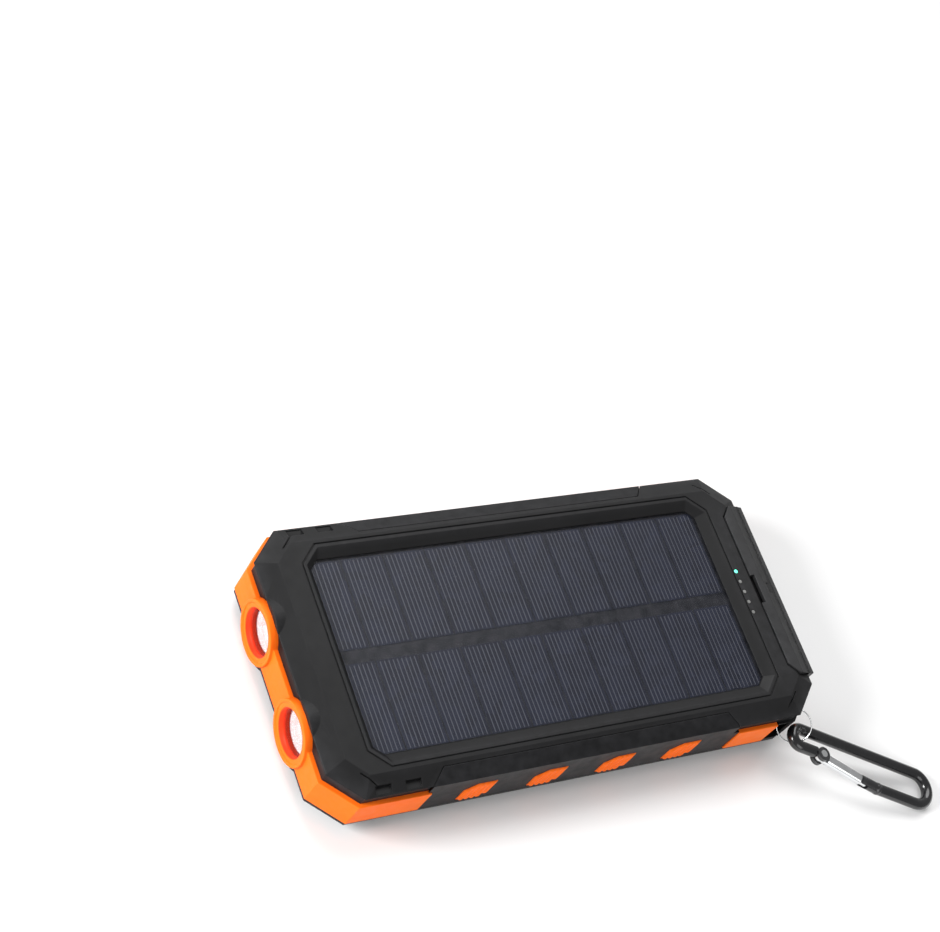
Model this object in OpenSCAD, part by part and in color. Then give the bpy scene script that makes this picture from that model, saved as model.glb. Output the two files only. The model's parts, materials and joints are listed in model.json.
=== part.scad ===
// Solar phone charger: a flat octagonal power bank lying on its back.
// Long side along X with the torch end at -X and the socket end at +X, solar window up (+Z).
// The origin is the middle of the back face.

/* [Body] */
// Length of the case without the torch rims and the socket door
body_length = 147; // [146:0.5:148]
// Width of the case
body_width = 73; // [72.6:0.2:73.4]
// Leg of each 45 degree corner cut
corner_cut = 8; // [7.5:0.1:8.5]
// Height of the front face above the back face
front_z = 20; // [19.8:0.1:20.2]
// Height of the joint line between the front cover and the side frame
joint_z = 17.5; // [17.3:0.1:17.6]
// Wall of the side frame
frame_wall = 2.6; // [2.2:0.1:2.8]

/* [Orange band] */
// Bottom of the band that the orange pieces sit in
band_low = 3.9; // [3.8:0.1:4.2]
// Top of the band that the orange pieces sit in
band_high = 13.9; // [13.5:0.1:14.2]
// How far the orange pieces stand proud of the black frame
bumper_proud = 0.4; // [0.2:0.1:0.6]
// Spacing of the ribbed grips along each side
grip_pitch = 20.7; // [20:0.1:21]
// Ribs on each grip
grip_ribs = 5; // [3:1:6]

/* [Solar window] */
// Lowest X of the clear opening
window_x0 = -59.4; // [-60:0.1:-59]
// Highest X of the clear opening
window_x1 = 57.9; // [57:0.1:58]
// Half width of the clear opening
window_half = 26.4; // [26:0.1:26.8]
// Strips of cells in each of the two rows
cell_strips = 10; // [8:1:12]
// Spacing of the strips
strip_pitch = 12.05; // [11.8:0.05:12.1]
// Width of the bare band between the two rows
busbar_band = 3.4; // [3:0.1:4]

/* [Torch] */
// Distance of each torch lamp from the middle
torch_y = 13.6; // [13:0.1:14]
// Height of the torch lamps
torch_z = 9.2; // [9:0.1:9.4]
// Inner radius of the orange torch rims
torch_bore = 6.35; // [6.2:0.05:6.5]

/* [Socket end] */
// Height of the door's hinge pin
hinge_z = 2.5; // [2.4:0.05:2.6]
// X of the door's hinge pin
hinge_x = 70.5; // [70.4:0.05:70.6]
// Distance of the two large sockets from the middle
socket_y = 14.5; // [14:0.1:15]

/* [Ring and carabiner] */
// Radius of the wire circle of the split ring
ring_radius = 4.67; // [4.6:0.01:4.7]
// Radius of the split ring's wire bundle
ring_wire = 0.4; // [0.35:0.01:0.42]
// Radius of the carabiner's rod
rod = 1.6; // [1.5:0.05:1.6]

/* [Hidden] */

$fn = 64;
eps = 0.02;
gap = 0.15;
half_l = body_length / 2;
half_w = body_width / 2;
front_bevel_in = 5.1;
back_bevel_in = 4.5;
back_bevel_h = 2.7;
strip_in = 0.7;
bumper_depth = 1.6;
bumper_x = -45.6;
side_plate_y = 32.4;
plate_y = side_plate_y + gap;
plate_z = joint_z + (front_z - joint_z) * (half_w - plate_y) / front_bevel_in;
hump_r = 9.9;
boss_r = 8.5;
boss_front = half_l + 1.3;
recess_top_x0 = -60.9;
recess_top_x1 = 61;
recess_top_half = 29.3;
sheet_z = 18.6;
pocket_x0 = -63;
pocket_x1 = 58.8;
pocket_half = 27.3;
pipe_x = 62.9;
pipe_pitch = 3.1;
door_inner = 73.15;
door_outer = 75;
door_crest = 69.9;
door_half = 25.7;
lip_x = 66.6;
lip_half = 22.6;
barrel_r = 1.9;
barrel_half = 21.9;
pin_r = 0.8;
pocket_z0 = 4.6;
board_z = 10.9;
board_t = 1.2;
compass_x = 57.4;
pad_depth = 0.9;
dome_drop = 0.65;
button_x = 40.8;
screw_x = 48;
loop_lo = [0.6, -0.35, 4.5];
loop_hi = [4.6, 0.45, 13.3];
ring_at = [68.583, -36.131, 9.5];
ring_roll = 48;
ring_tilt = -5.2;
carabiner_at = [65, -39.18, 9.4];
carabiner_pitch = 9.8;
carabiner_yaw = -24.5;
nose = [25.2, -4.4];
gate_pivot = [11.2, -1.75];
black = "#1c1c1e";
orange = "#ff8a1f";

// An octagon with 45 degree corners, inset by d from the case's outline
module outline(d) {
  l = half_l - d;
  w = half_w - d;
  c = corner_cut - d * (2 - sqrt(2));
  polygon([[-l, c - w], [c - l, -w], [l - c, -w], [l, c - w],
           [l, w - c], [l - c, w], [c - l, w], [-l, w - c]]);
}
// A plate of the outline inset by d, from z0 to z1
module plate(d, z0, z1) {
  translate([0, 0, z0]) linear_extrude(z1 - z0) outline(d);
}
// A ring of wall between two insets
module wall_ring(outer, inner, z0, z1) {
  translate([0, 0, z0]) linear_extrude(z1 - z0) difference() {
    outline(outer);
    outline(inner);
  }
}
// A slab whose edge slopes from inset d0 at z0 to inset d1 at z1
module sloped_plate(d0, z0, d1, z1) {
  hull() {
    plate(d0, z0, z0 + eps);
    plate(d1, z1 - eps, z1);
  }
}
// A rectangle with cut corners
module cut_rect(x0, x1, hy, c) {
  polygon([[x0, c - hy], [x0 + c, -hy], [x1 - c, -hy], [x1, c - hy],
           [x1, hy - c], [x1 - c, hy], [x0 + c, hy], [x0, hy - c]]);
}
module box(lo, hi) {
  translate(lo) cube(hi - lo);
}
// Both torch positions
module at_torches() {
  for (s = [-1, 1]) translate([0, s * torch_y, torch_z]) children();
}
// A cylinder along X
module x_rod(r, x0, x1) {
  translate([x0, 0, 0]) rotate([0, 90, 0]) cylinder(h = x1 - x0, r = r);
}
// A cylinder along Y, centred on y = 0
module y_rod(r, half) {
  rotate([90, 0, 0]) cylinder(h = 2 * half, r = r, center = true);
}
// The part of each long side where the frame's plate climbs over the front bevel
module side_plate_zone(d) {
  for (s = [-1, 1]) scale([1, s, 1])
    linear_extrude(40) polygon([[-46.8 + d, 50], [-46.8 + d, 36.2], [-43.6 + d, side_plate_y + d],
      [42.4 - d, side_plate_y + d], [45.6 - d, 36.2], [45.6 - d, 50]]);
}
// The region behind and below the socket door
module door_zone() {
  box([73, -26, pocket_z0 - 5], [80, 26, 30]);
  translate([0, 0, 18.85]) linear_extrude(5)
    polygon([[lip_x - 0.25, -lip_half - 0.25], [69.5, -door_half - 0.3], [80, -door_half - 0.3],
      [80, door_half + 0.3], [69.5, door_half + 0.3], [lip_x - 0.25, lip_half + 0.25]]);
}
// The trough that the door's hinge barrel turns in
module barrel_trough() {
  translate([hinge_x, 0, hinge_z]) y_rod(barrel_r + 0.35, barrel_half + 0.3);
  box([hinge_x - barrel_r - 0.35, -barrel_half - 0.3, -1],
    [80, barrel_half + 0.3, hinge_z]);
  box([hinge_x, -barrel_half - 0.3, -1], [80, barrel_half + 0.3, hinge_z + barrel_r + 0.35]);
  for (s = [-1, 1]) box([71.9, s * 24 - 2.2, -1], [80, s * 24 + 2.2, hinge_z + 0.5]);
}
// Local frame at the ring's corner: X along the corner cut, Y outwards
module at_ring_corner() {
  translate([half_l - corner_cut, -half_w, 0]) rotate([0, 0, 45]) scale([1, -1, 1]) children();
}

module front_cover() color(black) difference() {
  union() {
    sloped_plate(0.1, joint_z + gap, front_bevel_in, front_z);
    intersection() {
      at_torches() x_rod(hump_r, -73.4, -66);
      box([-80, -40, joint_z + gap], [0, 40, front_z]);
    }
    wall_ring(frame_wall + 0.2, frame_wall + 1.4, joint_z - 1.6, joint_z + gap + eps);
  }
  hull() {
    translate([0, 0, sheet_z - eps]) linear_extrude(eps)
      cut_rect(window_x0, window_x1, window_half, 2.2);
    translate([0, 0, front_z + eps]) linear_extrude(eps)
      cut_rect(recess_top_x0, recess_top_x1, recess_top_half, 4.4);
  }
  box([pocket_x0, -pocket_half, joint_z - 3], [pocket_x1, pocket_half, sheet_z]);
  translate([0, 0, front_z - 0.3]) linear_extrude(1) difference() {
    cut_rect(-62.1, 62.1, 30.5, 5);
    cut_rect(-61.7, 61.7, 30.1, 4.8);
  }
  for (i = [-2:2]) translate([pipe_x, i * pipe_pitch, joint_z - 1])
    cylinder(h = 5, r = 0.6, $fn = 32);
  door_zone();
  at_torches() x_rod(boss_r + gap, -80, -69.4);
  intersection() {
    side_plate_zone(0);
    box([-80, -50, joint_z], [80, 50, 25]);
  }
  for (x = [-62.5, -54.3]) for (s = [-1, 1])
    box([x, s * 34.85 - 0.95, joint_z + 0.2], [x + 4.4, s * 34.85 + 0.95, 19]);
  // moulded angle marks on the corner bevels
  for (s = [-1, 1]) for (e = [-1, 1]) scale([e, s, 1])
    translate([64.4, 31.2, joint_z + 1.05]) rotate([0, 0, -45])
      box([-4, 0, 0], [1.4, 0.35, 3]);
}

// The black wall between the two covers, with the plates that climb over the front bevel
module side_frame() color(black) difference() {
  union() {
    wall_ring(0, frame_wall, band_low + gap, band_high);
    wall_ring(strip_in, frame_wall, band_high, joint_z);
    intersection() {
      side_plate_zone(gap);
      for (t = [-1, 1]) scale([1, t, 1]) rotate([90, 0, 90]) translate([0, 0, -60])
        linear_extrude(120) polygon([[half_w - frame_wall, band_high - 1], [half_w, band_high - 1],
          [half_w, joint_z], [plate_y, plate_z], [plate_y, joint_z], [half_w - frame_wall, joint_z]]);
    }
    at_torches() x_rod(boss_r, -72.2, -69.6);
    // land behind the ring loop, and the loop itself
    intersection() {
      at_ring_corner() box([-4.6, -6.6, band_low + 2 * gap], [9, -1.2, band_high - gap]);
      plate(1, 0, 20);
    }
    at_ring_corner() box(loop_lo - [0, 0.6, 0.3], loop_hi + [0, 0, 0.3]);
  }
  // seats for the orange pieces
  intersection() {
    wall_ring(-2, bumper_depth, 0, band_high);
    box([-80, -50, 0], [bumper_x, 50, 30]);
  }
  intersection() {
    wall_ring(-2, bumper_depth, 0, band_high);
    union() {
      box([47.3, 22.3, 0], [80, 50, 30]);
      box([47.3, -50, 0], [60.6, 0, 30]);
      translate([69.5, -32.4, 0]) rotate([0, 0, 45]) box([1.7, -5, 0], [5.6, 5, 30]);
    }
  }
  for (s = [-1, 1]) for (i = [-1.5:1:1.5])
    translate([i * grip_pitch, s * half_w, 0]) grip_block(0.15, 4);
  at_torches() x_rod(torch_bore, -80, -60);
  at_torches() x_rod(boss_r + gap, -80, -72.2);
  // sockets
  for (s = [-1, 1]) box([60, s * socket_y - 6.75, 4.95], [80, s * socket_y + 6.75, 10.95]);
  box([60, -4.1, 7.9], [80, 4.1, 11.1]);
  door_zone();
  barrel_trough();
  // button opening
  box([button_x - 3.3, 30, 7.6], [button_x + 3.3, 40, 10.8]);
  // pocket behind the ring loop
  at_ring_corner() difference() {
    box([-3.4, -3.4, loop_lo[2]], [7.2, 6, loop_hi[2]]);
    box(loop_lo - [0, 0, 1], loop_hi + [0, 0, 1]);
  }
}

module back_cover() color(black) difference() {
  union() {
    sloped_plate(back_bevel_in, 0, 0, back_bevel_h);
    plate(0, back_bevel_h - eps, band_low);
    intersection() {
      at_torches() x_rod(hump_r, -73.4, -66);
      box([-80, -40, 0], [0, 40, band_low]);
    }
  }
  difference() {
    plate(frame_wall + 0.1, 1.6, 6);
    box([66.4, -40, 0], [80, 40, 6]);
    translate([compass_x, 0, 0]) cylinder(h = 6, r = 8.6);
  }
  translate([compass_x, 0, -1]) cylinder(h = 8, r = 7.3);
  translate([0, 0, -1]) linear_extrude(1 + pad_depth) {
    pad_outline(0.12);
    side_pad_outline(1, 0.12);
    side_pad_outline(-1, 0.12);
  }
  // long grooves beside the side pads
  for (s = [-1, 1]) box([-60.7, s * 28.5 - 0.35, -1], [57.6, s * 28.5 + 0.35, 0.4]);
  // recesses on the bevel by the socket end
  for (x = [47.7, 56.1]) for (s = [-1, 1])
    box([x, s * 34.3 - 1, -1], [x + 5.2, s * 34.3 + 1, 2.1]);
  // the ring pocket opens through the back bevel
  at_ring_corner() box([0.8, -3.4, -1], [6.4, -0.7, 6]);
  // moulded lines around the compass and at the torch end
  for (s = [-1, 1]) scale([1, s, 1]) {
    groove([66, 24.2], [47.5, 15]);
    groove([-50.3, 14.2], [-61.4, 19.2]);
  }
  groove([47.5, -15], [47.5, 15]);
  groove([-50.3, -14.2], [-50.3, 14.2]);
  groove([-68, -17.8], [-68, 17.8]);
  at_torches() x_rod(boss_r + gap, -80, -69.4);
  at_torches() x_rod(torch_bore + 0.4, -80, -60);
  door_zone();
  barrel_trough();
  translate([hinge_x, 0, hinge_z]) y_rod(pin_r, 25.2);
}
// A shallow groove in the back face between two points
module groove(a, b) {
  d = b - a;
  translate([a[0], a[1], -1]) rotate([0, 0, atan2(d[1], d[0])])
    box([0, -0.3, 0], [norm(d), 0.3, 1.3]);
}

// Outline of the centre grip pad, grown by g
module pad_outline(g) {
  polygon([[-44.1 - g, -14 - g], [35.3, -14 - g], [40.6 + g, -8.7 - g], [40.6 + g, 8.7 + g],
           [35.3, 14 + g], [-44.1 - g, 14 + g]]);
}
// Outline of a side grip pad, grown by g
module side_pad_outline(s, g) {
  scale([1, s]) polygon([[-52.6 - g, 25.3 + g], [-52.6 - g, 23.9 - g], [-39.9 - g, 17.8 - g],
    [37.5 + g, 17.8 - g], [49.4 + g, 23.6 - g], [49.4 + g, 25.3 + g]]);
}
module grip_pad_centre() color("#2a2a2c") linear_extrude(pad_depth - 0.05) pad_outline(0);
module grip_pad_left() color("#2a2a2c") linear_extrude(pad_depth - 0.05) side_pad_outline(1, 0);
module grip_pad_right() color("#2a2a2c") linear_extrude(pad_depth - 0.05) side_pad_outline(-1, 0);

// Soft orange cap round the torch end, with the two torch rims
module end_bumper() color(orange) difference() {
  union() {
    intersection() {
      wall_ring(-bumper_proud, bumper_depth - 0.05, band_low + 0.25, band_high - gap);
      box([-80, -50, 0], [bumper_x - gap, 50, 30]);
    }
    at_torches() x_rod(boss_r, -boss_front, -72.3);
  }
  at_torches() x_rod(torch_bore, -80, -60);
  at_torches() x_rod(7.6, -80, -boss_front + 0.35);
}

module bumper_block(d) {
  intersection() {
    wall_ring(d, bumper_depth - 0.05, band_low + 0.25, band_high - gap);
    children();
  }
}
module corner_bumper_left() color(orange) {
  bumper_block(0.6) box([47.45, 22.4, 0], [72.9, 50, 30]);
  bumper_block(-bumper_proud) box([47.45, 20, 0], [60.4, 50, 30]);
  bumper_block(-bumper_proud) translate([69.5, 32.5, 0]) rotate([0, 0, -45])
    box([-5, -5, 0], [5, 5, 30]);
}
module corner_bumper_right() color(orange)
  bumper_block(-bumper_proud) box([47.45, -50, 0], [60.4, -20, 30]);
module chamfer_bumper_right() color(orange)
  bumper_block(-bumper_proud) translate([69.5, -32.4, 0]) rotate([0, 0, 45])
    box([1.8, -5, 0], [5, 5, 30]);

// Block with two cut corners that fills a grip window, grown by g, reaching half_y each way
module grip_block(g, half_y) {
  translate([0, half_y, 0]) rotate([90, 0, 0]) linear_extrude(2 * half_y)
    polygon([[-4.25 - g, 4.95 - g], [1.35, 4.95 - g], [4.25 + g, 7.85 - g], [4.25 + g, 13.45 + g],
      [-1.35, 13.45 + g], [-4.25 - g, 10.55 + g]]);
}
// Ribbed grips joined by a strip that lies inside the frame wall
module side_grip(s) color(orange) {
  for (i = [-1.5:1:1.5]) translate([i * grip_pitch, 0, 0]) {
    translate([0, s * 34.85, 0]) grip_block(0, 1.85);
    for (k = [0:grip_ribs - 1]) {
      x = (k - (grip_ribs - 1) / 2) * 1.5;
      z0 = 5.2 + max(0, x - 0.9);
      z1 = 13.2 - max(0, -x - 0.9);
      translate([x, s * 36.7, z0]) cylinder(h = z1 - z0, r = 0.55, $fn = 24);
    }
  }
  box([-36, min(s * 32.9, s * 33.8), 6], [36, max(s * 32.9, s * 33.8), 12.4]);
}
module side_grip_left() side_grip(1);
module side_grip_right() side_grip(-1);

// Solar module: board, two rows of cell strips, clear cover sheet
module solar_plate(z0, z1, m) {
  box([pocket_x0 + m, m - pocket_half, z0], [pocket_x1 - m, pocket_half - m, z1]);
}
module solar_backing() color("#1d2a24") solar_plate(16.9, 17.9, 0.15);
module solar_cells() color("#1e2233") {
  row = window_half - busbar_band / 2 - 0.2;
  for (i = [0:cell_strips - 1]) for (s = [-1, 1])
    translate([57.7 - (i + 0.5) * strip_pitch, s * (busbar_band + row) / 2 - 0.2, 17.9])
      translate([0, 0, 0.09]) cube([strip_pitch - 0.5, row, 0.18], center = true);
}
module solar_cover_sheet() color([0.8, 0.85, 0.95, 0.35]) solar_plate(18.1, sheet_z - 0.02, 0.15);

// Liquid-free compass in the back face, read from below
module compass_cup() color(black) translate([compass_x, 0, 0]) difference() {
  translate([0, 0, 0.1]) cylinder(h = 4.6, r = 7.2);
  translate([0, 0, -1]) cylinder(h = 5.1, r = 6);
  translate([0, 0, 4]) cylinder(h = 1, r = 0.5, $fn = 32);
}
module compass_card() color("#0d0f0e") translate([compass_x, 0, 2.5]) difference() {
  cylinder(h = 0.4, r = 5.7);
  translate([0, 0, -1]) cylinder(h = 2, r = 0.56, $fn = 32);
}
module compass_hub() color("#c8ccd0") translate([compass_x, 0, 1.9])
  cylinder(h = 0.6, r = 1.35, $fn = 48);
module compass_needle() color("#d0d0d0") translate([compass_x, 0, 2.62])
  cylinder(h = 2, r = 0.5, $fn = 32);
module compass_dome() color([0.9, 0.95, 1, 0.3]) translate([compass_x, 0, 0])
  rotate_extrude() polygon(concat([[0, 1.02], [0, 0.12]],
    [for (k = [1:8]) [5.95 * k / 8, 0.12 + dome_drop * pow(k / 8, 2)]], [[5.95, 1.02]]));

// Torch lamp parts
module torch_reflector(s) color("#d8dade") translate([0, s * torch_y, torch_z])
  rotate([0, 90, 0]) translate([0, 0, -71.4]) rotate_extrude()
    polygon([[2.6, 8.2], [2.6, 7], [5.6, 0], [6.2, 0], [6.2, 1], [3.4, 8.2]]);
module torch_reflector_left() torch_reflector(1);
module torch_reflector_right() torch_reflector(-1);
module torch_lens(s) color([0.9, 0.95, 1, 0.3]) translate([0, s * torch_y, torch_z])
  x_rod(6.2, -72.5, -71.5);
module torch_lens_left() torch_lens(1);
module torch_lens_right() torch_lens(-1);
module torch_led(s) color("#f4f1dc") translate([0, s * torch_y, torch_z]) {
  translate([-66.1, 0, 0]) sphere(r = 2.3, $fn = 48);
  x_rod(2.3, -66.1, -62.75);
}
module torch_led_left() torch_led(1);
module torch_led_right() torch_led(-1);
module torch_board() color("#1f5a34") box([-62.7, -21, 4.6], [-61.7, 21, 14]);

// Power parts inside the case
module battery_cell() color("#8d949b") box([-58, -29.5, 2.6], [33, 29.5, 13.6]);
module battery_foam() color("#3c3c40") for (x = [-50, 10])
  box([x, -26, 13.65], [x + 16, 26, 16.8]);
module main_board() color("#1f5a34") difference() {
  translate([0, 0, board_z]) linear_extrude(board_t)
    polygon([[37, -30.5], [61, -30.5], [68.6, -22.9], [68.6, 22.9], [61, 30.5], [37, 30.5]]);
  for (s = [-1, 1]) translate([screw_x, s * 27, 5]) cylinder(h = 20, r = 1.1, $fn = 32);
}
module board_screws() color("#b9bcc0") for (s = [-1, 1]) translate([screw_x, s * 27, 0]) {
  translate([0, 0, 4]) cylinder(h = board_z + board_t - 4, r = 1, $fn = 32);
  translate([0, 0, board_z + board_t]) cylinder(h = 1.3, r = 1.9, $fn = 32);
}
module usb_shell(s) color("#c9ccd0") translate([0, s * socket_y, 7.95]) difference() {
  box([58.6, -6.6, -2.85], [72.7, 6.6, 2.85]);
  box([59, -6.25, -2.5], [73, 6.25, 2.5]);
}
module usb_shell_left() usb_shell(1);
module usb_shell_right() usb_shell(-1);
module usb_tongue(s) color("#f0f0ee") translate([0, s * socket_y, 7.95]) {
  box([59.05, -5.6, 0.1], [71.2, 5.6, 2.1]);
  box([59.05, -6.2, -2.45], [61, 6.2, 2.45]);
}
module usb_tongue_left() usb_tongue(1);
module usb_tongue_right() usb_tongue(-1);
module micro_usb_shell() color("#c9ccd0") difference() {
  box([66.4, -3.85, 8.1], [72.7, 3.85, board_z - 0.02]);
  box([66.7, -3.55, 8.4], [73, 3.55, board_z - 0.3]);
}
module micro_usb_tongue() color("#202124") {
  box([66.75, -2.4, 9.4], [71.4, 2.4, 10.1]);
  box([66.75, -3.5, 8.45], [67.6, 3.5, board_z - 0.35]);
}
module indicator_leds() color("#f4f1dc") for (i = [-2:2])
  translate([pipe_x, i * pipe_pitch, board_z + board_t + 0.35]) cube([1.6, 0.9, 0.7], center = true);
module light_pipe(i) color([0.9, 1, 0.95, 0.6])
  translate([pipe_x, i * pipe_pitch, board_z + board_t + 0.8])
    cylinder(h = front_z - board_z - board_t - 0.85, r = 0.5, $fn = 32);
module light_pipe_lit() color("#58e0a0") light_pipe(2);
module light_pipes() for (i = [-2:1]) light_pipe(i);

// Power button in the left side wall, and the switch behind it
module tact_switch() color("#d8d8d8") {
  box([button_x - 2.6, 27.2, 6.6], [button_x + 2.6, 30.4, board_z - 0.02]);
  translate([button_x, 30.4, 9.2]) rotate([-90, 0, 0]) cylinder(h = 0.9, r = 1.1, $fn = 32);
}
module power_button() color("#242426") {
  box([button_x - 3.2, 33.6, 7.7], [button_x + 3.2, 36.55, 10.7]);
  box([button_x - 3.9, 32.9, 7.2], [button_x + 3.9, 33.6, 11.2]);
  translate([button_x, 31.75, 9.2]) rotate([-90, 0, 0]) cylinder(h = 1.3, r = 0.9, $fn = 32);
}

// Door over the sockets, hinged at the back, with a lip that wraps over the front face
module usb_door() color(black) difference() {
  union() {
    translate([0, door_half, 0]) rotate([90, 0, 0]) linear_extrude(2 * door_half)
      polygon([[door_inner, 4.6], [door_inner, 1.2], [door_inner + 0.6, 0.6], [door_outer - 0.6, 0.6],
        [door_outer, 1.2], [door_outer, 18.2], [door_crest, 20.45], [68, 20.45], [68, 19.2],
        [door_inner, 19.2]]);
    translate([0, 0, 19.2]) linear_extrude(1.25)
      polygon([[lip_x, -lip_half], [69.3, -door_half], [door_crest, -door_half],
        [door_crest, door_half], [69.3, door_half], [lip_x, lip_half]]);
    translate([hinge_x, 0, hinge_z]) y_rod(barrel_r, barrel_half);
    box([hinge_x, -barrel_half, hinge_z - barrel_r], [door_inner + 0.5, barrel_half, hinge_z]);
  }
  translate([hinge_x, 0, hinge_z]) y_rod(pin_r + 0.05, 40);
  box([60, -4.2, 19], [67.9, 4.2, 21]);
  box([70.6, -1.6, 19.5], [72, 1.6, 21]);
  for (s = [-1, 1]) scale([1, s, 1]) linear_extrude(30) polygon([[60, 25.3], [66, 22], [69.3, door_half],
    [69.3, 30], [60, 30]]);
}
module door_hinge_pin() color("#c0c3c7") translate([hinge_x, 0, hinge_z]) y_rod(pin_r, 25);

// Split ring through the corner loop, and the carabiner that hangs on it
module split_ring() color("#d8dade") translate(ring_at) rotate([0, 0, -45])
  rotate([ring_roll, 0, 0]) rotate([0, ring_tilt, 0])
  rotate_extrude($fn = 96) translate([ring_radius, 0]) circle(r = ring_wire, $fn = 24);
module at_carabiner() {
  translate(carabiner_at) rotate([0, carabiner_pitch, carabiner_yaw]) children();
}
// Rod from a to b in the carabiner's plane
module stick(a, b, r) {
  d = b - a;
  translate([a[0], a[1], 0]) rotate([0, 0, atan2(d[1], d[0])]) x_rod(r, 0, norm(d));
}
module bend(c, r, from, sweep) {
  translate([c[0], c[1], 0]) rotate([0, 0, from])
    rotate_extrude(angle = sweep, $fn = 96) translate([r, 0]) circle(r = rod, $fn = 32);
}
module carabiner_body() color(black) at_carabiner() difference() {
  union() {
    stick([4.5, 4.1], [45, 4.1], rod);
    bend([45, -0.5], 4.6, -90, 180);
    stick([31, -5.1], [45, -5.1], rod);
    stick([31, -5.1], nose, rod);
    translate([31, -5.1, 0]) sphere(r = rod + 0.12, $fn = 32);
    bend([4.5, 1.5], 2.6, 90, 180);
    stick([4.5, -1.1], [9.6, -1.1], rod);
    translate([gate_pivot[0], gate_pivot[1], 0]) cylinder(h = 3.7, r = 1.95, center = true);
  }
  // fork for the gate's hinge end, and slot for its tip
  translate([gate_pivot[0], gate_pivot[1], 0]) {
    box([-2.1, -3, -0.8], [3, 3, 0.8]);
    cylinder(h = 8, r = 0.6, center = true, $fn = 32);
  }
  translate([nose[0], nose[1], 0]) rotate([0, 0, -8]) box([-1, -3, -0.8], [2.3, 3, 0.8]);
}
module carabiner_gate() color("#d4d7db") at_carabiner() difference() {
  union() {
    stick(gate_pivot + [2.2, -0.41], nose - [0.45, -0.08], 1.5);
    intersection() {
      union() {
        stick(gate_pivot, gate_pivot + [3, -0.56], 1.5);
        translate([gate_pivot[0], gate_pivot[1], 0]) cylinder(h = 4, r = 1.5, center = true);
        stick(nose - [1, -0.16], nose + [1.6, -0.26], 1.2);
      }
      box([0, -10, -0.6], [40, 10, 0.6]);
    }
  }
  translate([gate_pivot[0], gate_pivot[1], 0]) cylinder(h = 8, r = 0.65, center = true, $fn = 32);
}
module gate_rivet() color("#d4d7db") at_carabiner() translate([gate_pivot[0], gate_pivot[1], 0]) {
  cylinder(h = 2 * rod + 0.1, r = 0.6, center = true, $fn = 32);
  for (s = [-1, 1]) translate([0, 0, s * (rod + 0.2)])
    cylinder(h = 0.4, r = 1, center = true, $fn = 32);
}

front_cover();
side_frame();
back_cover();
end_bumper();
corner_bumper_left();
corner_bumper_right();
chamfer_bumper_right();
side_grip_left();
side_grip_right();
solar_backing();
solar_cells();
solar_cover_sheet();
grip_pad_centre();
grip_pad_left();
grip_pad_right();
compass_cup();
compass_card();
compass_hub();
compass_needle();
compass_dome();
torch_reflector_left();
torch_reflector_right();
torch_lens_left();
torch_lens_right();
torch_led_left();
torch_led_right();
torch_board();
battery_cell();
battery_foam();
main_board();
board_screws();
usb_shell_left();
usb_shell_right();
usb_tongue_left();
usb_tongue_right();
micro_usb_shell();
micro_usb_tongue();
indicator_leds();
light_pipe_lit();
light_pipes();
tact_switch();
power_button();
usb_door();
door_hinge_pin();
split_ring();
carabiner_body();
carabiner_gate();
gate_rivet();
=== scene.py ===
"""Solar phone charger: finishes, fine detail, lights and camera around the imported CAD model."""
import json
from math import cos, pi, radians, sin, sqrt, tau

import bmesh
import bpy
import numpy as np
from mathutils import Matrix, Vector


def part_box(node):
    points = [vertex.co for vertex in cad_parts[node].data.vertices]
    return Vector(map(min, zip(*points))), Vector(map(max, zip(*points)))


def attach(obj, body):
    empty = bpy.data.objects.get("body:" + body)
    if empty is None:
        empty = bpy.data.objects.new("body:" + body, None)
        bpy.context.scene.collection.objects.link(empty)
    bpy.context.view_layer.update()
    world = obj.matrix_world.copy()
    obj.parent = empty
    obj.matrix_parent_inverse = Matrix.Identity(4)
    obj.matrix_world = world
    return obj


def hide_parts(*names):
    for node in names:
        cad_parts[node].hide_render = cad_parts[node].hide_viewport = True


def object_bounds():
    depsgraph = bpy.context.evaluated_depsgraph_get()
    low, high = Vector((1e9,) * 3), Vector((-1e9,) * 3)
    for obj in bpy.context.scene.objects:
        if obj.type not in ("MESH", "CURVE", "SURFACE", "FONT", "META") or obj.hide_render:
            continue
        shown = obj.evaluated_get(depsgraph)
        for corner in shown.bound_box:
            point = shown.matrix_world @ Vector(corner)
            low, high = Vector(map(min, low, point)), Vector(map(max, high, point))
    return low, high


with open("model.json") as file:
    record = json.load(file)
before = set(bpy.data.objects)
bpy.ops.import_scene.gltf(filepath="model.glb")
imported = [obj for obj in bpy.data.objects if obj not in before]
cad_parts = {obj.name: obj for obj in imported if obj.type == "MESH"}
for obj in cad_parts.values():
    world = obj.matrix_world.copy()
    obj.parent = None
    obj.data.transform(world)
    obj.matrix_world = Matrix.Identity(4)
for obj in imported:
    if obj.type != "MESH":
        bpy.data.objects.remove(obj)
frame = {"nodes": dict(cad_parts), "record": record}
CAD_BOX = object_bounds()
MM = 0.001
NODES = frame["nodes"]


# ---------------------------------------------------------------- camera, lights, floor

CAMERA_AT = (-0.3058, -0.1863, 0.4686)
CAMERA_SPIN = (2.546, -0.314, 0.667)  # rotation vector from the object's axes to the lens's, in radians
CAMERA_LENS = 85.9
SUN_FROM = (0.2, 0.6, 0.7)
SUN_STRENGTH = 2.2
SUN_SPREAD = radians(50)
WORLD_STRENGTH = 0.36
FLOOR_SIZE = 6
FLOOR_DROP = 0.0001  # keeps the floor just clear of the lowest point


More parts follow.
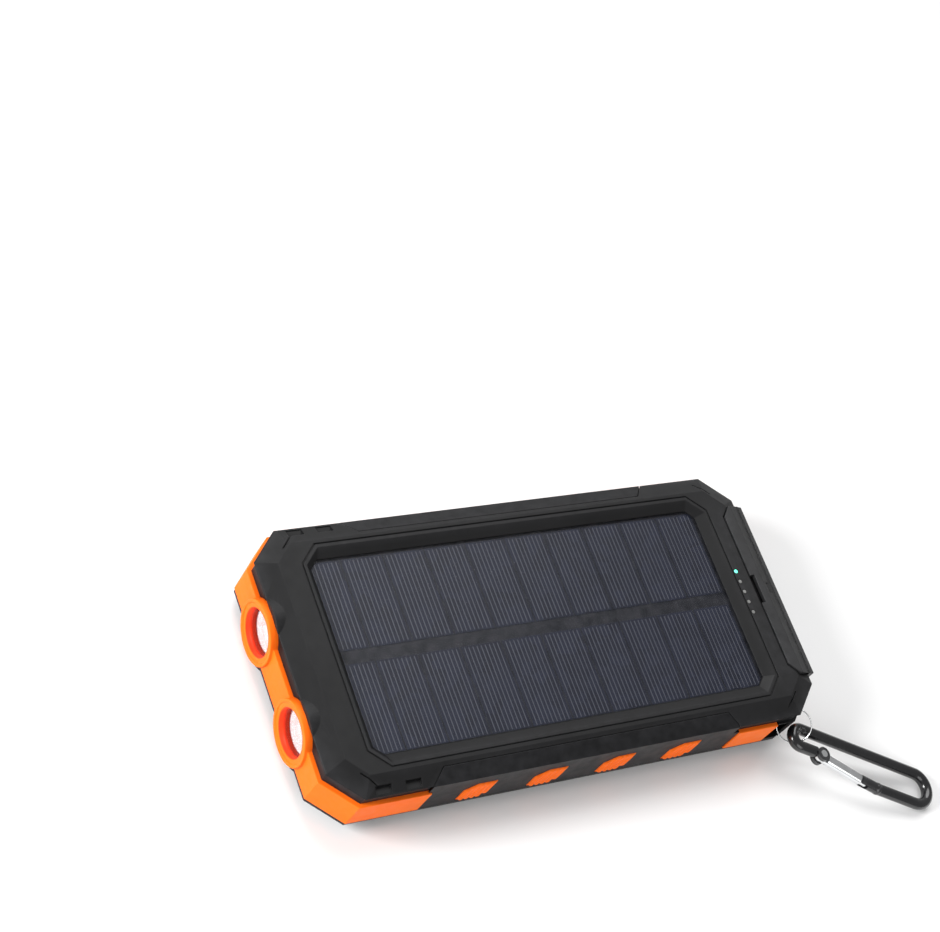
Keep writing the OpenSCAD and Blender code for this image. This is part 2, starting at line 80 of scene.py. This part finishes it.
def place_camera():
    """A camera at the reference picture's viewing angle."""
    camera = bpy.data.objects.new("camera", bpy.data.cameras.new("camera"))
    bpy.context.scene.collection.objects.link(camera)
    turn = Vector(CAMERA_SPIN)
    spin = Matrix.Rotation(turn.length, 3, turn.normalized())
    pose = (spin.transposed() @ Matrix.Diagonal((1, -1, -1))).to_4x4()
    pose.translation = CAMERA_AT
    camera.matrix_world = pose
    camera.data.lens = CAMERA_LENS
    camera.data.sensor_width = 36
    camera.data.clip_start = 0.01
    bpy.context.scene.camera = camera


def soft_light(name, at, aim, size, power):
    """A round area light."""
    light = bpy.data.lights.new(name, "AREA")
    light.shape = "DISK"
    light.size = size
    light.energy = power
    lamp = bpy.data.objects.new(name, light)
    lamp.location = at
    lamp.rotation_euler = (Vector(aim) - Vector(at)).to_track_quat("-Z", "Y").to_euler()
    bpy.context.scene.collection.objects.link(lamp)


def light_scene():
    """A broad overhead light, two soft fills and an even white surround."""
    sun = bpy.data.lights.new("sky", "SUN")
    sun.energy = SUN_STRENGTH
    sun.angle = SUN_SPREAD
    sky = bpy.data.objects.new("sky", sun)
    sky.rotation_euler = Vector(SUN_FROM).to_track_quat("Z", "Y").to_euler()
    bpy.context.scene.collection.objects.link(sky)
    soft_light("end_fill", (-0.8, 0.12, 0.42), (-0.02, 0, 0), 0.4, 10)
    soft_light("near_fill", (-0.1, -0.8, 0.5), (0, 0, 0), 0.7, 2.6)
    world = bpy.data.worlds.new("studio")
    world.use_nodes = True
    shade = world.node_tree.nodes["Background"]
    shade.inputs["Color"].default_value = (1, 1, 1, 1)
    shade.inputs["Strength"].default_value = WORLD_STRENGTH
    bpy.context.scene.world = world
    bpy.context.scene.view_settings.view_transform = "Standard"


# ---------------------------------------------------------------- materials

class Shader:
    """A small builder for one procedural Principled material."""

    def __init__(self, name, colour, rough, **sockets):
        self.material = bpy.data.materials.new(name)
        self.material.use_nodes = True
        self.tree = self.material.node_tree
        self.main = self.tree.nodes["Principled BSDF"]
        self.colour = colour
        self.main.inputs["Base Color"].default_value = (*colour, 1)
        self.main.inputs["Roughness"].default_value = rough
        self.rough = rough
        for socket, value in sockets.items():
            self.main.inputs[socket.replace("_", " ")].default_value = value
        self.place = self.add("TexCoord").outputs["Object"]
        self.normal = None

    def add(self, kind, **inputs):
        node = self.tree.nodes.new("ShaderNode" + kind)
        for socket, value in inputs.items():
            self.feed(value, node.inputs[socket.replace("_", " ")])
        return node

    def feed(self, value, socket):
        if isinstance(value, bpy.types.NodeSocket):
            self.tree.links.new(value, socket)
        else:
            socket.default_value = value

    def noise(self, size_mm, detail=2.0):
        """Noise whose grains are about size_mm across."""
        return self.add("TexNoise", Vector=self.place, Scale=1 / (size_mm * MM), Detail=detail).outputs["Fac"]

    def remap(self, value, low, high, from_low=0.3, from_high=0.7):
        return self.add("MapRange", Value=value, From_Min=from_low, From_Max=from_high,
                        To_Min=low, To_Max=high).outputs["Result"]

    def bump(self, height, strength, depth_mm):
        node = self.add("Bump", Height=height, Strength=strength, Distance=depth_mm * MM)
        if self.normal:
            self.feed(self.normal, node.inputs["Normal"])
        self.normal = node.outputs["Normal"]

    def round_edges(self, radius_mm):
        node = self.add("Bevel", Radius=radius_mm * MM)
        node.samples = 4
        self.normal = node.outputs["Normal"]

    def mottle(self, size_mm, amount, rough_amount):
        """Slow changes of shade and gloss over the surface."""
        slow = self.noise(size_mm, 3.0)
        mix = self.add("Mix")
        mix.data_type = "RGBA"
        self.feed(self.remap(slow, 0, 1), mix.inputs["Factor"])
        self.feed((*[c * (1 - amount) for c in self.colour], 1), mix.inputs["A"])
        self.feed((*[min(1, c * (1 + amount)) for c in self.colour], 1), mix.inputs["B"])
        self.feed(mix.outputs["Result"], self.main.inputs["Base Color"])
        fine = self.noise(size_mm / 6, 4.0)
        rough = self.remap(fine, self.rough - rough_amount, self.rough + rough_amount)
        self.feed(rough, self.main.inputs["Roughness"])
        return mix.outputs["Result"]

    def pale_edges_wear_and_highlight(self, base, colour, amount):
        """A paler look where the surface turns outwards: partly rubbed wear, partly a painted highlight on
        the edges.
        """
        edge = self.add("NewGeometry").outputs["Pointiness"]
        # Paler where pointiness is high: partly edge wear, partly a painted highlight on the edges.
        rubbed_and_lit = self.remap(edge, 0, amount, 0.52, 0.6)
        patchy = self.add("Math", Value=rubbed_and_lit)
        patchy.operation = "MULTIPLY"
        self.feed(self.remap(self.noise(2.5), 0.3, 1), patchy.inputs[1])
        mix = self.add("Mix")
        mix.data_type = "RGBA"
        self.feed(patchy.outputs["Value"], mix.inputs["Factor"])
        self.feed(base, mix.inputs["A"])
        self.feed((*colour, 1), mix.inputs["B"])
        self.feed(mix.outputs["Result"], self.main.inputs["Base Color"])

    def done(self):
        if self.normal:
            self.feed(self.normal, self.main.inputs["Normal"])
        return self.material


def moulded(name, colour, rough, grain_mm=0.22, depth_mm=0.03, radius_mm=0.3,
            wear_and_highlight_colour=(0.1, 0.1, 0.11), shine=0.16):
    """Spark-textured moulded plastic with softened edges."""
    shader = Shader(name, colour, rough, Specular_IOR_Level=shine)
    base = shader.mottle(18, 0.12, 0.05)
    # Paler edges: partly wear, partly a painted highlight where the edges catch the light.
    shader.pale_edges_wear_and_highlight(base, wear_and_highlight_colour, 0.3)
    shader.round_edges(radius_mm)
    shader.bump(shader.noise(grain_mm, 3.0), 0.35, depth_mm)
    return shader.done()


def elastomer(name, colour, rough, wear_and_highlight_colour):
    """Soft over-moulded rubber with a satin skin."""
    shader = Shader(name, colour, rough, Specular_IOR_Level=0.12)
    base = shader.mottle(9, 0.05, 0.06)
    # Paler edges: partly wear, partly a painted highlight where the edges catch the light.
    shader.pale_edges_wear_and_highlight(base, wear_and_highlight_colour, 0.25)
    shader.round_edges(0.35)
    shader.bump(shader.noise(0.3, 3.0), 0.25, 0.02)
    return shader.done()


def brushed(name, colour, rough, metal=1.0):
    """Metal with fine surface grain."""
    shader = Shader(name, colour, rough, Metallic=metal)
    shader.mottle(4, 0.06, 0.05)
    shader.bump(shader.noise(0.25, 2.0), 0.12, 0.01)
    return shader.done()


def chromed_with_painted_glow(name, colour, rough):
    """Vacuum-plated plastic with a painted white glow (emission) standing in for the light its bowl reflects.
    """
    # Painted glow: the white emission lights the bowl though the reflector is no lamp.
    shader = Shader(name, colour, rough, Metallic=0.8, Emission_Color=(1, 1, 1, 1), Emission_Strength=0.2)
    shader.mottle(2, 0.04, 0.05)
    shader.bump(shader.noise(1.2, 2.0), 0.1, 0.03)
    return shader.done()


def anodised(name, colour, rough):
    """Smooth dyed aluminium with a thin gloss, slight handling marks and paler edges that are partly a
    painted highlight.
    """
    shader = Shader(name, colour, rough, Coat_Weight=0.35, Coat_Roughness=0.12)
    base = shader.mottle(5, 0.15, 0.06)
    shader.pale_edges_wear_and_highlight(base, (0.12, 0.12, 0.125), 0.2)
    shader.bump(shader.noise(1.4, 2.0), 0.06, 0.02)
    return shader.done()


def clear(name, tint, alpha, rough):
    """Thin clear plastic, with faint waviness and patchy gloss."""
    shader = Shader(name, tint, rough, Alpha=alpha, IOR=1.5)
    shader.mottle(12, 0.1, rough * 0.4)
    shader.bump(shader.noise(6, 2.0), 0.05, 0.05)
    return shader.done()


def cell_silicon():
    """Dark navy cells with a crystal-grain sheen."""
    shader = Shader("silicon", (0.014, 0.017, 0.029), 0.42, Specular_IOR_Level=0.14)
    crystals = shader.add("TexVoronoi", Vector=shader.place, Scale=1 / (3.2 * MM)).outputs["Color"]
    grey = shader.add("RGBToBW", Color=crystals).outputs["Val"]
    mix = shader.add("Mix")
    mix.data_type = "RGBA"
    shader.feed(shader.remap(grey, 0, 1, 0.1, 0.9), mix.inputs["Factor"])
    shader.feed((0.011, 0.0125, 0.022, 1), mix.inputs["A"])
    shader.feed((0.018, 0.021, 0.037, 1), mix.inputs["B"])
    shader.feed(mix.outputs["Result"], shader.main.inputs["Base Color"])
    shader.feed(shader.remap(grey, 0.34, 0.5, 0.1, 0.9), shader.main.inputs["Roughness"])
    shader.bump(shader.noise(0.15), 0.1, 0.01)
    return shader.done()


def circuit_board():
    """Green solder mask with faint copper tracks under it."""
    shader = Shader("board_green", (0.015, 0.11, 0.045), 0.35)
    tracks = shader.add("TexBrick", Vector=shader.place, Scale=1 / (6 * MM), Mortar_Size=0.04)
    shader.feed((0.012, 0.09, 0.035, 1), tracks.inputs["Color1"])
    shader.feed((0.016, 0.12, 0.05, 1), tracks.inputs["Color2"])
    shader.feed((0.03, 0.2, 0.09, 1), tracks.inputs["Mortar"])
    shader.feed(tracks.outputs["Color"], shader.main.inputs["Base Color"])
    shader.bump(tracks.outputs["Fac"], 0.3, 0.03)
    return shader.done()


def foil_wrap():
    """Crinkled silver wrap of the battery cell."""
    shader = Shader("foil", (0.42, 0.44, 0.47), 0.35, Metallic=0.8)
    shader.mottle(14, 0.1, 0.08)
    shader.bump(shader.noise(7, 3.0), 0.35, 0.3)
    return shader.done()


def glowing(name, colour, strength):
    """A surface that gives off a little light of its own; on the unlit LED and the compass marks this glow is
    painted.
    """
    shader = Shader(name, colour, 0.35, Emission_Color=(*colour, 1), Emission_Strength=strength)
    shader.mottle(0.8, 0.06, 0.05)
    return shader.done()


def make_materials():
    """One material for each of the record's slots."""
    # The paler edge colours here are partly wear and partly a painted highlight on the edges.
    black_wear_and_highlight = (0.05, 0.05, 0.054)
    return {
        "black_plastic": moulded("black_plastic", (0.0105, 0.0105, 0.011), 0.45, wear_and_highlight_colour=black_wear_and_highlight),
        "frame_plastic": moulded("frame_plastic", (0.0045, 0.0045, 0.005), 0.45, wear_and_highlight_colour=black_wear_and_highlight),
        # The door's base colour is a shade paler than black_plastic's: painted brightness for the light
        # falling on its bevel.
        "door_plastic": moulded("door_plastic", (0.0125, 0.0125, 0.013), 0.43, wear_and_highlight_colour=black_wear_and_highlight, shine=0.3),
        "orange_rubber": elastomer("orange_rubber", (1.0, 0.15, 0.006), 0.5, (1, 0.28, 0.05)),
        "grip_rubber": elastomer("grip_rubber", (0.02, 0.02, 0.021), 0.55, (0.08, 0.08, 0.085)),
        "silicon": cell_silicon(),
        "panel_black": moulded("panel_black", (0.006, 0.007, 0.011), 0.4, 0.3, 0.004, 0.05, shine=0.07),
        "clear_sheet": clear("clear_sheet", (0.006, 0.007, 0.01), 0.07, 0.2),
        "gloss_black": moulded("gloss_black", (0.008, 0.008, 0.009), 0.16, 0.3, 0.006, 0.25),
        "compass_black": moulded("compass_black", (0.006, 0.007, 0.007), 0.45, 0.15, 0.01, 0.05),
        "bright_metal": brushed("bright_metal", (0.78, 0.79, 0.8), 0.2),
        "reflector": chromed_with_painted_glow("reflector", (0.93, 0.94, 0.96), 0.24),
        "steel": brushed("steel", (0.55, 0.56, 0.58), 0.28),
        "black_anodised": anodised("black_anodised", (0.008, 0.008, 0.009), 0.2),
        "white_plastic": moulded("white_plastic", (0.72, 0.72, 0.7), 0.4, wear_and_highlight_colour=(0.8, 0.8, 0.8)),
        "board_green": circuit_board(),
        "foil": foil_wrap(),
        "foam": moulded("foam", (0.045, 0.045, 0.05), 0.85, 0.8, 0.3, 0.3),
        # Painted glow: the LED is off, and its emission stands in for bright reflections.
        "led_white": glowing("led_white", (0.9, 0.88, 0.78), 0.25),
        "lit_green": glowing("lit_green", (0.1, 0.75, 0.5), 2.2),
    }


SLOT_OF = {part["node"]: part["material_slot"] for part in frame["record"]["subparts"]}
MATERIALS = make_materials()
CELL_LINE = brushed("cell_line", (0.08, 0.085, 0.108), 0.45, metal=0.3)
SMOKED = moulded("smoked", (0.16, 0.16, 0.155), 0.3, 0.3, 0.005, 0.1, (0.3, 0.3, 0.3))
# Painted glow on the compass ticks and letters, which are no lamps.
DIAL_WHITE = glowing("dial_white", (0.75, 0.78, 0.75), 0.15)
DIAL_GREEN = glowing("dial_green", (0.35, 0.8, 0.4), 0.2)
RED_THROAT = elastomer("red_throat", (0.8, 0.035, 0.008), 0.4, (0.9, 0.1, 0.03))


def finish_cad_nodes():
    """Every carried-over CAD node takes its slot's finish."""
    for name, node in NODES.items():
        node.data.materials.clear()
        node.data.materials.append(SMOKED if name == "light_pipes" else MATERIALS[SLOT_OF[name]])


# ---------------------------------------------------------------- mesh helpers

def piece_from(name, bm, body, slot, material=None, smooth=True, replaces=()):
    """Turns a bmesh in millimetres into a piece that rides on a body."""
    bmesh.ops.recalc_face_normals(bm, faces=bm.faces)
    bmesh.ops.scale(bm, vec=(MM, MM, MM), verts=bm.verts)
    mesh = bpy.data.meshes.new(name)
    bm.to_mesh(mesh)
    bm.free()
    for face in mesh.polygons:
        face.use_smooth = smooth
    piece = bpy.data.objects.new(name, mesh)
    bpy.context.scene.collection.objects.link(piece)
    mesh.materials.append(material or MATERIALS[slot])
    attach(piece, body)
    if replaces:
        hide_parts(*replaces)


def add_block(bm, low, high):
    """An upright box between two corners."""
    size = Vector(high) - Vector(low)
    middle = (Vector(high) + Vector(low)) / 2
    bmesh.ops.create_cube(bm, size=1, matrix=Matrix.Translation(middle) @ Matrix.Diagonal((*size, 1)))


def add_pad(bm, nu, nv, top, base):
    """A closed pad: a grid of top(u, v) points, walls down to base(u, v) round its edge, and a back face."""
    grid = [[bm.verts.new(top(i / nu, j / nv)) for j in range(nv + 1)] for i in range(nu + 1)]
    for i in range(nu):
        for j in range(nv):
            bm.faces.new((grid[i][j], grid[i + 1][j], grid[i + 1][j + 1], grid[i][j + 1]))
    rim = ([(i, 0) for i in range(nu)] + [(nu, j) for j in range(nv)]
           + [(i, nv) for i in range(nu, 0, -1)] + [(0, j) for j in range(nv, 0, -1)])
    low = [bm.verts.new(base(i / nu, j / nv)) for i, j in rim]
    for k, (i, j) in enumerate(rim):
        after = (k + 1) % len(rim)
        bm.faces.new((grid[i][j], low[k], low[after], grid[rim[after][0]][rim[after][1]]))
    bm.faces.new(low)


def add_lathe(bm, profile, steps, place=Matrix()):
    """Revolves (radius, height) points round the local Z axis and joins the last to the first."""
    rings = [[bm.verts.new(place @ Vector((r * cos(tau * k / steps), r * sin(tau * k / steps), h)))
              for k in range(steps)] for r, h in profile]
    for a, b in zip(rings, rings[1:] + rings[:1]):
        for k in range(steps):
            bm.faces.new((a[k], a[(k + 1) % steps], b[(k + 1) % steps], b[k]))


def add_tube(bm, points, radius, sides=12):
    """A round tube along a list of points, with closed ends."""
    rings = []
    for k, point in enumerate(points):
        ahead = points[min(k + 1, len(points) - 1)] - points[max(k - 1, 0)]
        turn = ahead.to_track_quat("Z", "Y").to_matrix()
        rings.append([bm.verts.new(point + turn @ Vector((radius * cos(tau * s / sides),
                                                          radius * sin(tau * s / sides), 0)))
                      for s in range(sides)])
    for a, b in zip(rings, rings[1:]):
        for s in range(sides):
            bm.faces.new((a[s], a[(s + 1) % sides], b[(s + 1) % sides], b[s]))
    bm.faces.new(rings[0])
    bm.faces.new(rings[-1])


def box_mm(node):
    """A CAD node's lowest and highest corners, in millimetres."""
    low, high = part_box(node)
    return low / MM, high / MM


def soften(piece, width_mm):
    """Rounds a piece's sharp edges with real geometry."""
    weld = piece.modifiers.new("weld", "WELD")
    weld.merge_threshold = 1e-6
    flat = piece.modifiers.new("flatten", "DECIMATE")
    flat.decimate_type = "DISSOLVE"
    flat.angle_limit = radians(0.5)
    bevel = piece.modifiers.new("soft_edge", "BEVEL")
    bevel.width = width_mm * MM
    bevel.segments = 3
    bevel.limit_method = "ANGLE"
    bevel.angle_limit = radians(35)
    bevel.use_clamp_overlap = True
    bevel.miter_outer = "MITER_ARC"
    piece.modifiers.new("weighted", "WEIGHTED_NORMAL")


# ---------------------------------------------------------------- solar cells

CELL_STRIPS = 10
CELL_SPACE = 0.5  # between strips, and from a finger's end to its strip's end
ROW_GAP = (-2.1, 1.5)  # y limits of the busbar between the two rows
FINGER_RISE = 0.04
FINGERS = 9
FINGER_PITCH = 1.2
FINGER_WIDTH = 0.2


def make_solar_cells():
    """Bevelled cell strips with raised collector fingers, in two rows."""
    low, high = box_mm("solar_cells")
    pitch = (high.x - low.x + CELL_SPACE) / CELL_STRIPS
    strips, fingers = bmesh.new(), bmesh.new()
    for column in range(CELL_STRIPS):
        x0 = low.x + column * pitch
        x1 = x0 + pitch - CELL_SPACE
        for y0, y1 in ((low.y, ROW_GAP[0]), (ROW_GAP[1], high.y)):
            add_block(strips, (x0, y0, low.z), (x1, y1, high.z - FINGER_RISE))
            for k in range(FINGERS):
                x = (x0 + x1) / 2 + (k - (FINGERS - 1) / 2) * FINGER_PITCH
                add_block(fingers, (x - FINGER_WIDTH / 2, y0 + CELL_SPACE, high.z - 1.5 * FINGER_RISE),
                          (x + FINGER_WIDTH / 2, y1 - CELL_SPACE, high.z))
    bmesh.ops.bevel(strips, geom=strips.edges[:], offset=0.03, segments=1, affect="EDGES")
    piece_from("solar_cell_strips", strips, "case", "silicon", smooth=False, replaces=("solar_cells",))
    piece_from("solar_cell_fingers", fingers, "case", "silicon", CELL_LINE, smooth=False)


# ---------------------------------------------------------------- grips

GRIP_COLUMNS = (-31.05, -10.35, 10.35, 31.05)
NUB_HALF = 4.25
NUB_LOW, NUB_HIGH = 4.95, 13.45
NUB_CUT = 2.9
RIB_PITCH = 1.6
EDGE_STEEPNESS = 3.2
CARRIER_Y = (32.95, 33.75)
CARRIER_X = 36
CARRIER_Z = (6, 12.4)


def ramp(t):
    """0 at both ends of 0..1, rising steeply to 1 inside."""
    return max(0, min(1, (1 - abs(2 * t - 1)) * EDGE_STEEPNESS))


def nub_edge(x):
    """Lowest and highest z of a grip's outline at x from its middle."""
    low = NUB_LOW + max(0, x - (NUB_HALF - NUB_CUT))
    high = NUB_HIGH - max(0, -x - (NUB_HALF - NUB_CUT))
    return low, high


def make_side_grip(side, name):
    """Pillowed, ribbed grips on one side, with their carrier strip behind the wall."""
    face = box_mm(name)
    outer = max(abs(face[0].y), abs(face[1].y))
    bm = bmesh.new()
    for middle in GRIP_COLUMNS:
        def top(u, v, middle=middle):
            x = (2 * u - 1) * NUB_HALF
            low, high = nub_edge(x)
            z = low + (high - low) * v
            edge = ramp(u) * ramp(v)
            dome = sqrt(max(0, 1 - (1 - edge) ** 2))
            rib = 0.5 + 0.5 * cos(tau * x / RIB_PITCH)
            rise = 0.25 + 0.62 * dome * (0.55 + 0.45 * rib)
            scallop = 0.35 * (1 - rib) * (1 - v) ** 2
            return Vector((middle + x, side * (outer - 0.95 + rise), z + scallop))

        def base(u, v, middle=middle):
            x = (2 * u - 1) * NUB_HALF
            low, high = nub_edge(x)
            return Vector((middle + x, side * (outer - 4.2), low + (high - low) * v))
        add_pad(bm, 60, 24, top, base)
    y0, y1 = sorted(side * y for y in CARRIER_Y)
    add_block(bm, (-CARRIER_X, y0, CARRIER_Z[0]), (CARRIER_X, y1, CARRIER_Z[1]))
    piece_from(name + "_ribbed", bm, "case", "orange_rubber", replaces=(name,))


RIB_STEP = 0.95
DASH = 1.9
PAD_STEP = (0.16, 0.3)
PAD_LIP = 0.5
PAD_CHAMFER = 0.12


def weave(x, y):
    """Height in mm of the grip pads' ribbed, dashed surface."""
    row = round(x / RIB_STEP)
    rib = 0.5 + 0.5 * cos(tau * x / RIB_STEP)
    shift = 0.5 * DASH if row % 2 else 0
    dash = 0.5 + 0.5 * cos(tau * (y + shift) / DASH)
    return 0.13 * rib * (0.55 + 0.45 * min(1, 1.6 * dash))


def make_grip_pad(name, half_width):
    """A woven-look pad with a raised rim, in the place of its CAD node. half_width(x) gives its y limits."""
    low, high = box_mm(name)
    nu = int((high.x - low.x) / PAD_STEP[0])
    nv = int((high.y - low.y) / PAD_STEP[1])

    def spot(u, v):
        x = low.x + (high.x - low.x) * u
        y0, y1 = half_width(x)
        return x, y0 + (y1 - y0) * v, y0, y1

    def top(u, v):
        x, y, y0, y1 = spot(u, v)
        inset = min(x - low.x, high.x - x, y - y0, y1 - y)
        height = 0.2 if inset < PAD_LIP else 0.02 + weave(x, y)
        if inset < PAD_CHAMFER:
            height = PAD_CHAMFER
        return Vector((x, y, low.z + 0.22 - height))

    def base(u, v):
        x, y, _, _ = spot(u, v)
        return Vector((x, y, high.z))
    bm = bmesh.new()
    add_pad(bm, nu, nv, top, base)
    piece_from(name + "_woven", bm, "case", "grip_rubber", replaces=(name,))


PAD_INNER, PAD_OUTER = 17.8, 25.3
# The side pads' inner edge steps outwards past these x: where it starts, over what length, and to what y.
PAD_TORCH_END = (-39.9, 12.7, 23.9)
PAD_SOCKET_END = (37.5, 11.9, 23.6)


def make_grip_pads():
    """The centre pad and the two side pads in the back cover."""
    def centre(x):
        half = 14 - max(0, x - 35.3)
        return -half, half

    def side_limits(x):
        inner = PAD_INNER
        for start, length, reach in (PAD_TORCH_END, PAD_SOCKET_END):
            past = (x - start) * (1 if start > 0 else -1)
            if past > 0:
                inner = PAD_INNER + past * (reach - PAD_INNER) / length
        return inner, PAD_OUTER

    def right_limits(x):
        inner, outer = side_limits(x)
        return -outer, -inner
    make_grip_pad("grip_pad_centre", centre)
    make_grip_pad("grip_pad_left", side_limits)
    make_grip_pad("grip_pad_right", right_limits)


# ---------------------------------------------------------------- compass

def radial_frame(angle, radius, centre, depth):
    """Placement on the card at an angle from +X: local +Y points outwards and +Z towards the reader."""
    out = Vector((cos(angle), sin(angle), 0))
    towards = Vector((0, 0, -1))
    right = out.cross(towards)
    place = Matrix((right, out, towards)).transposed().to_4x4()
    place.translation = centre + out * radius + towards * depth
    return place


def letter_mesh(letter, size):
    """A flat letter as a mesh, centred on its own middle."""
    curve = bpy.data.curves.new("letter", "FONT")
    curve.body = letter
    curve.size = size
    curve.extrude = 0.03
    curve.offset = 0.05
    curve.align_x = "CENTER"
    curve.align_y = "CENTER"
    holder = bpy.data.objects.new("letter", curve)
    bpy.context.scene.collection.objects.link(holder)
    bpy.context.view_layer.update()
    mesh = bpy.data.meshes.new_from_object(holder.evaluated_get(bpy.context.evaluated_depsgraph_get()))
    bpy.data.objects.remove(holder)
    middle = sum((v.co for v in mesh.vertices), Vector()) / len(mesh.vertices)
    mesh.transform(Matrix.Translation(-Vector((middle.x, middle.y, 0))))
    return mesh


TICKS = 72
LONG_TICK_EVERY = 6
TICK_RADIUS, BAR_RADIUS, LETTER_RADIUS = 5.1, 3.4, 2.9
LONG_TICK, SHORT_TICK = (0.2, 1.04), (0.1, 0.6)  # width and length
MARK_THICKNESS = 0.06


def make_compass_marks():
    """Ticks, intercardinal bars and the four letters on the underside of the card."""
    low, high = box_mm("compass_card")
    centre = Vector(((low.x + high.x) / 2, 0, low.z))
    ticks, letters = bmesh.new(), bmesh.new()
    for k in range(TICKS):
        size = SHORT_TICK if k % LONG_TICK_EVERY else LONG_TICK
        place = radial_frame(tau * k / TICKS, TICK_RADIUS, centre, 0.02)
        tick = place @ Matrix.Diagonal((*size, MARK_THICKNESS, 1))
        bmesh.ops.create_cube(ticks, size=1, matrix=tick)
    for k in range(4):
        angle = pi / 4 + k * pi / 2
        place = radial_frame(angle, BAR_RADIUS, centre, 0.02)
        for turn in (-0.35, 0, 0.35):
            bar = place @ Matrix.Rotation(turn, 4, "Z") @ Matrix.Diagonal((0.22, 1.3, MARK_THICKNESS, 1))
            bmesh.ops.create_cube(ticks, size=1, matrix=bar)
    for letter, angle in (("W", 0), ("N", pi / 2), ("E", pi), ("S", -pi / 2)):
        mesh = letter_mesh(letter, 2.7)
        mesh.transform(radial_frame(angle, LETTER_RADIUS, centre, 0.03))
        letters.from_mesh(mesh)
        bpy.data.meshes.remove(mesh)
    piece_from("compass_ticks", ticks, "compass", "white_plastic", DIAL_WHITE, smooth=False)
    piece_from("compass_letters", letters, "compass", "lit_green", DIAL_GREEN, smooth=False)


# ---------------------------------------------------------------- torches

BOWL_ROWS, BOWL_FACETS = 7, 28
BOWL_LIP, BOWL_FLOOR = 0.35, 2.6
THROAT_INNER, THROAT_OUTER = 6.24, 6.34
THROAT_SETBACK = 0.45
THROAT_STEPS = 64


def make_torch(side):
    """A faceted bowl reflector and the red inner throat of the rim."""
    name = "torch_reflector_" + side
    low, high = box_mm(name)
    middle = (low + high) / 2
    place = Matrix.Translation((low.x, middle.y, middle.z)) @ Matrix.Rotation(pi / 2, 4, "Y")
    depth = high.x - low.x
    outer = (high.y - low.y) / 2
    mouth = outer - BOWL_LIP
    bm = bmesh.new()
    bowl = []
    for k in range(BOWL_ROWS + 1):
        t = k / BOWL_ROWS
        bowl.append((mouth - (mouth - BOWL_FLOOR) * t ** 1.5, depth * t))
    bowl += [(3.3, depth), (outer, 1.0), (outer, 0.0)]
    add_lathe(bm, bowl, BOWL_FACETS, place)
    piece_from(name + "_faceted", bm, "case", "reflector", smooth=False, replaces=(name,))
    _, lens_high = box_mm("torch_lens_" + side)
    start_x = box_mm("end_bumper")[0].x + THROAT_SETBACK
    throat = bmesh.new()
    length = lens_high.x + 0.08 - start_x
    start = Matrix.Translation((start_x, middle.y, middle.z)) @ Matrix.Rotation(pi / 2, 4, "Y")
    wall = [(THROAT_OUTER, 0), (THROAT_OUTER, length), (THROAT_INNER, length), (THROAT_INNER, 0)]
    add_lathe(throat, wall, THROAT_STEPS, start)
    piece_from("torch_throat_" + side, throat, "case", "orange_rubber", RED_THROAT)


# ---------------------------------------------------------------- split ring

WIRE_RADIUS = 0.18
WIRE_TURNS = 1.95
WIRE_LIFT = 0.16  # each turn's distance from the ring's middle plane
WIRE_STEPS = 150


def make_split_ring():
    """Nearly two turns of round wire, lying where the CAD ring lies."""
    mesh = NODES["split_ring"].data
    points = np.array([v.co for v in mesh.vertices]) / MM
    _, _, axes = np.linalg.svd(points - points.mean(0), full_matrices=False)
    across, along, axis = (Vector(a) for a in axes)
    centre = Vector(points.mean(0))
    arms = [Vector(p) - centre for p in points]
    reach = [(arm - axis * axis.dot(arm)).length for arm in arms]
    radius = (max(reach) + min(reach)) / 2
    path = []
    for k in range(WIRE_STEPS + 1):
        t = k / WIRE_STEPS
        angle = tau * WIRE_TURNS * t
        lift = WIRE_LIFT * max(-1, min(1, (t - 0.5) / 0.06))
        path.append(centre + across * radius * cos(angle) + along * radius * sin(angle) + axis * lift)
    bm = bmesh.new()
    add_tube(bm, path, WIRE_RADIUS)
    piece_from("split_ring_wire", bm, "ring", "bright_metal", replaces=("split_ring",))


# ---------------------------------------------------------------- build

def make_floor():
    """A plain pale floor, just under the object."""
    shader = Shader("floor", (0.86, 0.86, 0.86), 0.9)
    shader.mottle(60, 0.01, 0.02)
    bpy.ops.mesh.primitive_plane_add(size=FLOOR_SIZE, location=(0, 0, CAD_BOX[0].z - FLOOR_DROP))
    floor = bpy.context.object
    floor.name = "floor"
    floor.data.materials.append(shader.done())


place_camera()
light_scene()
finish_cad_nodes()
make_solar_cells()
make_side_grip(1, "side_grip_left")
make_side_grip(-1, "side_grip_right")
make_grip_pads()
make_compass_marks()
make_torch("left")
make_torch("right")
make_split_ring()
for node in ("end_bumper", "corner_bumper_left", "corner_bumper_right", "chamfer_bumper_right"):
    soften(NODES[node], 0.3)
make_floor()
